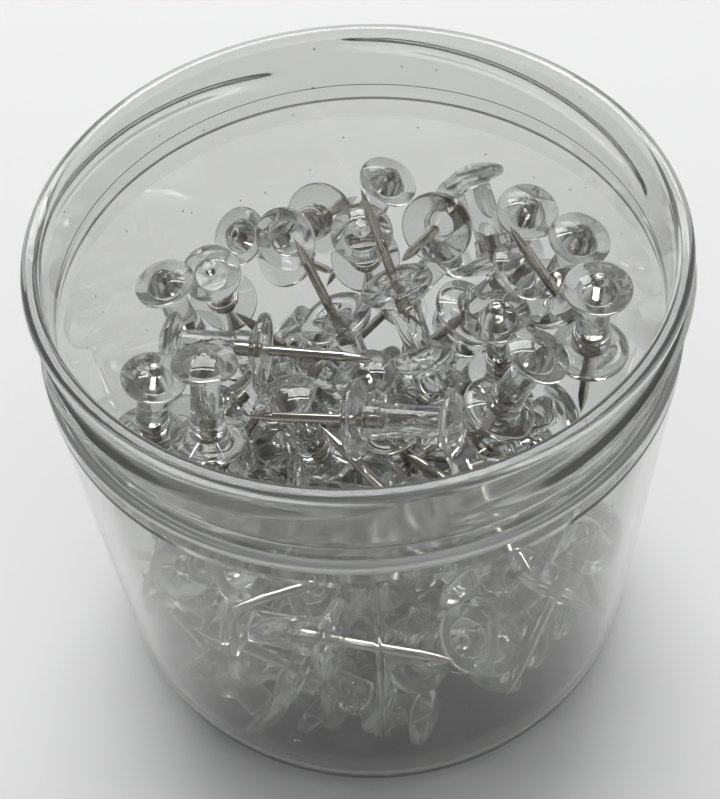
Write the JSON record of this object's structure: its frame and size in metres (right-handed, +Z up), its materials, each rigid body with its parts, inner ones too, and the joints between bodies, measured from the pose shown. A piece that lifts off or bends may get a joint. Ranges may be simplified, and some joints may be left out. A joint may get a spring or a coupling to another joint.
{
  "type": "tub of push pins",
  "caption": "Open clear straight-sided screw-neck tub filled with loose clear push pins, each a waisted moulded head with a pressed-in steel needle.",
  "frame": {"origin": "centre of the tub's flat underside", "axes": "+Z up out of the tub's mouth, -Y towards the viewer of the picture, +X to the viewer's right"},
  "size_m": [0.0631, 0.063, 0.0594],
  "materials": {
    "tub": "clear, glossy",
    "head": "clear, glossy",
    "needle": "drawn steel wire, ground point"
  },
  "bodies": {
    "tub_and_pile": {"tub": "tub", "pin_03_head": "head", "pin_03_needle": "needle", "pin_04_head": "head", "pin_04_needle": "needle", "pin_05_head": "head", "pin_05_needle": "needle", "pin_06_head": "head", "pin_06_needle": "needle", "pin_07_head": "head", "pin_07_needle": "needle", "pin_08_head": "head", "pin_08_needle": "needle", "pin_09_head": "head", "pin_09_needle": "needle", "pin_10_head": "head", "pin_10_needle": "needle", "pin_12_head": "head", "pin_12_needle": "needle", "pin_13_head": "head", "pin_13_needle": "needle", "pin_14_head": "head", "pin_14_needle": "needle", "pin_15_head": "head", "pin_15_needle": "needle", "pin_16_head": "head", "pin_16_needle": "needle", "pin_18_head": "head", "pin_18_needle": "needle", "pin_19_head": "head", "pin_19_needle": "needle", "pin_20_head": "head", "pin_20_needle": "needle", "pin_21_head": "head", "pin_21_needle": "needle", "pin_22_head": "head", "pin_22_needle": "needle", "pin_23_head": "head", "pin_23_needle": "needle", "pin_24_head": "head", "pin_24_needle": "needle", "lower_pin_heads": "head", "lower_pin_needles": "needle"},
    "pin_01": {"pin_01_head": "head", "pin_01_needle": "needle"},
    "pin_02": {"pin_02_head": "head", "pin_02_needle": "needle"},
    "pin_11": {"pin_11_head": "head", "pin_11_needle": "needle"},
    "pin_17": {"pin_17_head": "head", "pin_17_needle": "needle"}
  },
  "joints": [
    {"name": "pin_01_lift_out", "type": "slide", "parent": "tub_and_pile", "child": "pin_01", "axis": [0.342, 0, 0.9397], "range_m": [0, 0.03]},
    {"name": "pin_02_lift_out", "type": "slide", "parent": "tub_and_pile", "child": "pin_02", "axis": [0.183, 0.683, 0.7071], "range_m": [0, 0.04]},
    {"name": "pin_11_lift_out", "type": "slide", "parent": "tub_and_pile", "child": "pin_11", "axis": [-0.4082, -0.1094, 0.9063], "range_m": [0, 0.03]},
    {"name": "pin_17_lift_out", "type": "slide", "parent": "tub_and_pile", "child": "pin_17", "axis": [0.1589, -0.3744, 0.9135], "range_m": [0, 0.045]}
  ]
}
